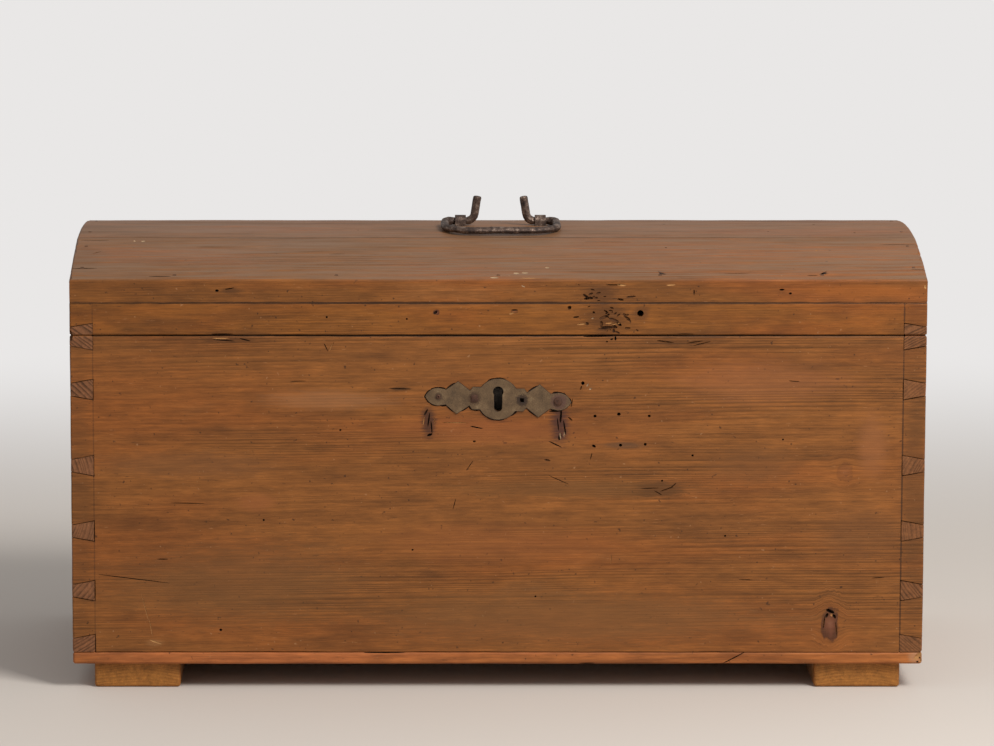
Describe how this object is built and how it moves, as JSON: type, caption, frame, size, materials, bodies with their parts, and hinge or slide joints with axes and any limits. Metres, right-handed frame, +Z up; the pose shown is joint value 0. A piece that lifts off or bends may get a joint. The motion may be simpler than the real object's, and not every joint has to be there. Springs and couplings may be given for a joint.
{
  "type": "dome top trunk",
  "caption": "Antique pine dome top trunk: dovetailed case on runner feet, hinged lid of crowned staves, iron bail handle, cut-out escutcheon and a chest lock with a sliding bolt.",
  "frame": {"origin": "on the floor under the middle of the case", "axes": "+X along the front to the viewer's right, +Y from the front to the back, +Z up"},
  "size_m": [0.9, 0.4335, 0.5037],
  "materials": {
    "case_pine": "old waxed pine",
    "lid_pine": "old waxed pine, worn dull on top",
    "base_pine": "newer pine, stained",
    "forged_iron": "forged, rusted brown",
    "nail_iron": "forged, rusted dark",
    "lock_iron": "forged, dark",
    "escutcheon_brass": "sheet, tarnished dull"
  },
  "bodies": {
    "case": {"front_board": "case_pine", "back_board": "case_pine", "left_end_board": "case_pine", "right_end_board": "case_pine", "bottom_plank_front": "base_pine", "bottom_plank_middle": "base_pine", "bottom_plank_back": "base_pine", "left_runner": "base_pine", "right_runner": "base_pine", "bottom_nails": "nail_iron", "runner_nails": "nail_iron", "escutcheon": "escutcheon_brass", "escutcheon_nails": "nail_iron", "lock_plate": "lock_iron", "lock_case": "lock_iron", "lock_guide_pins": "lock_iron", "lock_key_pin": "lock_iron", "lock_spring": "lock_iron", "lock_nails": "nail_iron", "left_hinge_case_leaf": "forged_iron", "right_hinge_case_leaf": "forged_iron", "left_hinge_pin": "forged_iron", "right_hinge_pin": "forged_iron", "case_hinge_nails": "nail_iron"},
    "lid": {"lid_front_rail": "lid_pine", "lid_back_rail": "lid_pine", "lid_left_end": "lid_pine", "lid_right_end": "lid_pine", "front_stave": "lid_pine", "top_stave": "lid_pine", "back_stave": "lid_pine", "stave_nails": "nail_iron", "left_hinge_lid_leaf": "forged_iron", "right_hinge_lid_leaf": "forged_iron", "lid_hinge_nails": "nail_iron", "lid_catch": "lock_iron", "catch_loop": "lock_iron", "catch_nails": "nail_iron", "left_handle_staple": "forged_iron", "right_handle_staple": "forged_iron"},
    "bail": {"bail_handle": "forged_iron"},
    "bolt": {"lock_bolt": "lock_iron"}
  },
  "joints": [
    {"name": "lid_hinge", "type": "hinge", "parent": "case", "child": "lid", "pos_m": [0, 0.2155, 0.3784], "axis": [-1, 0, 0], "range_deg": [0, 105]},
    {"name": "bail_swing", "type": "hinge", "parent": "lid", "child": "bail", "pos_m": [0.006, 0, 0.47627], "axis": [-1, 0, 0], "range_deg": [0, 90]},
    {"name": "bolt_slide", "type": "slide", "parent": "case", "child": "bolt", "axis": [1, 0, 0], "range_m": [0, 0.012]}
  ]
}
